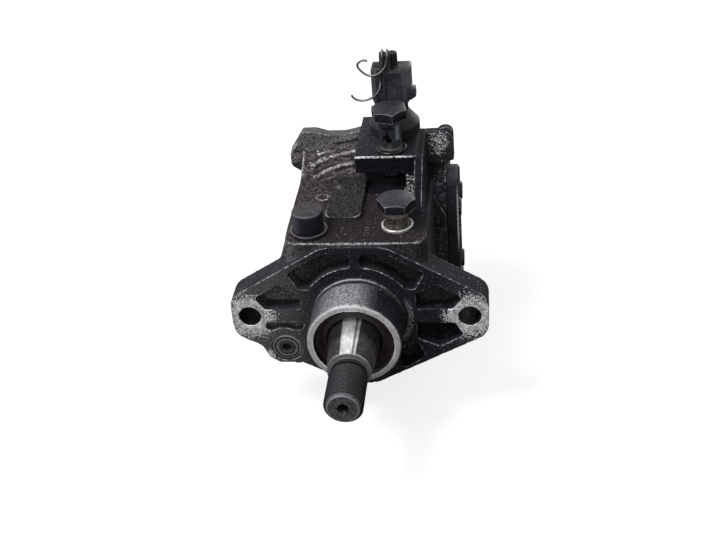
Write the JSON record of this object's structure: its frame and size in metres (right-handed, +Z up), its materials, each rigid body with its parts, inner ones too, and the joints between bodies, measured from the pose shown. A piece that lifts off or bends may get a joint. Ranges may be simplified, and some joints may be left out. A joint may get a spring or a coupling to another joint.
{
  "type": "high-pressure fuel pump",
  "caption": "Diesel high-pressure fuel pump: eared flange with pilot hub, tapered shaft, ring cam, plunger heads, feed rotor, banjo bolts and a metering valve with plug.",
  "frame": {"origin": "where the shaft line meets the mounting face of the flange", "axes": "+X right seen from the shaft end, +Y back into the housing along the shaft, +Z up towards the banjo bolts"},
  "size_m": [0.125, 0.186, 0.1668],
  "materials": {
    "housing_casting": "dark stained cast aluminium, worn pale at the ears",
    "head_casting": "dark stained aluminium",
    "cover_casting": "dark stained cast aluminium",
    "ground_steel": "ground and polished steel, darker on the thread",
    "bearing_steel": "ground steel",
    "spring_steel": "drawn steel wire",
    "black_screw": "blackened steel",
    "dark_hex": "dark oxidised steel",
    "zinc_olive": "yellow-olive zinc plate on the shank",
    "bright_washer": "bright crushed washer",
    "bronze_bush": "bearing bronze",
    "cage_brass": "pressed brass",
    "rubber_black": "black nitrile rubber",
    "seal_brown": "brown-black lip seal",
    "cap_plastic": "black plastic",
    "plug_plastic": "black glass-filled nylon",
    "valve_can": "black coated steel can",
    "clip_wire": "bright spring wire",
    "tin_pin": "tinned",
    "plug_metal": "stained steel closing plug",
    "rotor_steel": "sintered steel"
  },
  "bodies": {
    "housing": {"pump_housing": "housing_casting", "side_head": "head_casting", "bottom_head": "head_casting", "rear_plate": "cover_casting", "rear_cover": "cover_casting", "shaft_seal": "seal_brown", "pilot_ring": "rubber_black", "outer_race": "bearing_steel", "bearing_circlip": "spring_steel", "side_plunger": "bearing_steel", "bottom_plunger": "bearing_steel", "side_foot": "bearing_steel", "bottom_foot": "bearing_steel", "side_return_spring": "spring_steel", "bottom_return_spring": "spring_steel", "side_closer": "plug_metal", "bottom_closer": "plug_metal", "side_head_screws": "black_screw", "bottom_head_screws": "black_screw", "outlet_union": "zinc_olive", "cavity_seal": "rubber_black", "rear_bush": "bronze_bush", "cover_seal": "rubber_black", "cover_screws": "black_screw", "gallery_plug": "plug_metal", "lower_banjo_bolt": "zinc_olive", "upper_banjo_bolt": "dark_hex", "lower_washer": "bright_washer", "upper_washer": "bright_washer", "inlet_stub": "plug_metal", "inlet_cap": "cap_plastic", "metering_valve": "valve_can", "valve_rings": "rubber_black", "spool_spring": "spring_steel", "socket_pins": "tin_pin"},
    "shaft": {"drive_shaft": "ground_steel", "inner_race": "bearing_steel", "inner_rotor": "rotor_steel"},
    "cam_ring": {"ring_cam": "bearing_steel"},
    "feed_rotor": {"outer_rotor": "rotor_steel"},
    "ball_set": {"bearing_balls": "bearing_steel", "bearing_cage": "cage_brass"},
    "spool": {"metering_spool": "bearing_steel"},
    "plug": {"plug_shell": "plug_plastic", "wire_seal": "rubber_black", "wire_sleeve": "plug_plastic"},
    "clip": {"wire_clip": "clip_wire"},
    "side_valve": {"side_delivery_ball": "bearing_steel", "side_delivery_spring": "spring_steel"},
    "bottom_valve": {"bottom_delivery_ball": "bearing_steel", "bottom_delivery_spring": "spring_steel"}
  },
  "joints": [
    {"name": "shaft_spin", "type": "hinge", "parent": "housing", "child": "shaft", "pos_m": [0, 0, 0], "axis": [0, 1, 0], "continuous": true},
    {"name": "cam_ring_turn", "type": "hinge", "parent": "shaft", "child": "cam_ring", "pos_m": [0.003, 0.076, 0], "axis": [0, 1, 0], "continuous": true},
    {"name": "feed_rotor_turn", "type": "hinge", "parent": "housing", "child": "feed_rotor", "pos_m": [0.0024, 0.1033, 0], "axis": [0, 1, 0], "continuous": true},
    {"name": "ball_set_turn", "type": "hinge", "parent": "housing", "child": "ball_set", "pos_m": [0, 0.0235, 0], "axis": [0, 1, 0], "continuous": true},
    {"name": "spool_slide", "type": "slide", "parent": "housing", "child": "spool", "axis": [0, 0, 1], "range_m": [0, 0.0025], "stiffness_N_per_m": 400, "springref_m": -0.002, "deforming": ["spool_spring"]},
    {"name": "plug_pull", "type": "slide", "parent": "housing", "child": "plug", "axis": [0, 0, 1], "range_m": [0, 0.01]},
    {"name": "clip_swing", "type": "hinge", "parent": "plug", "child": "clip", "pos_m": [0.01275, 0.0767, 0.10185], "axis": [-1, 0, 0], "range_deg": [0, 18]},
    {"name": "side_valve_lift", "type": "slide", "parent": "housing", "child": "side_valve", "axis": [1, 0, 0], "range_m": [0, 0.0006], "stiffness_N_per_m": 400, "springref_m": -0.001},
    {"name": "bottom_valve_lift", "type": "slide", "parent": "housing", "child": "bottom_valve", "axis": [0, 0, -1], "range_m": [0, 0.0006], "stiffness_N_per_m": 400, "springref_m": -0.001}
  ],
  "couplings": [
    {"joint": "cam_ring_turn", "follows": "shaft_spin", "ratio": -1},
    {"joint": "feed_rotor_turn", "follows": "shaft_spin", "ratio": 0.8},
    {"joint": "ball_set_turn", "follows": "shaft_spin", "ratio": 0.3969}
  ]
}
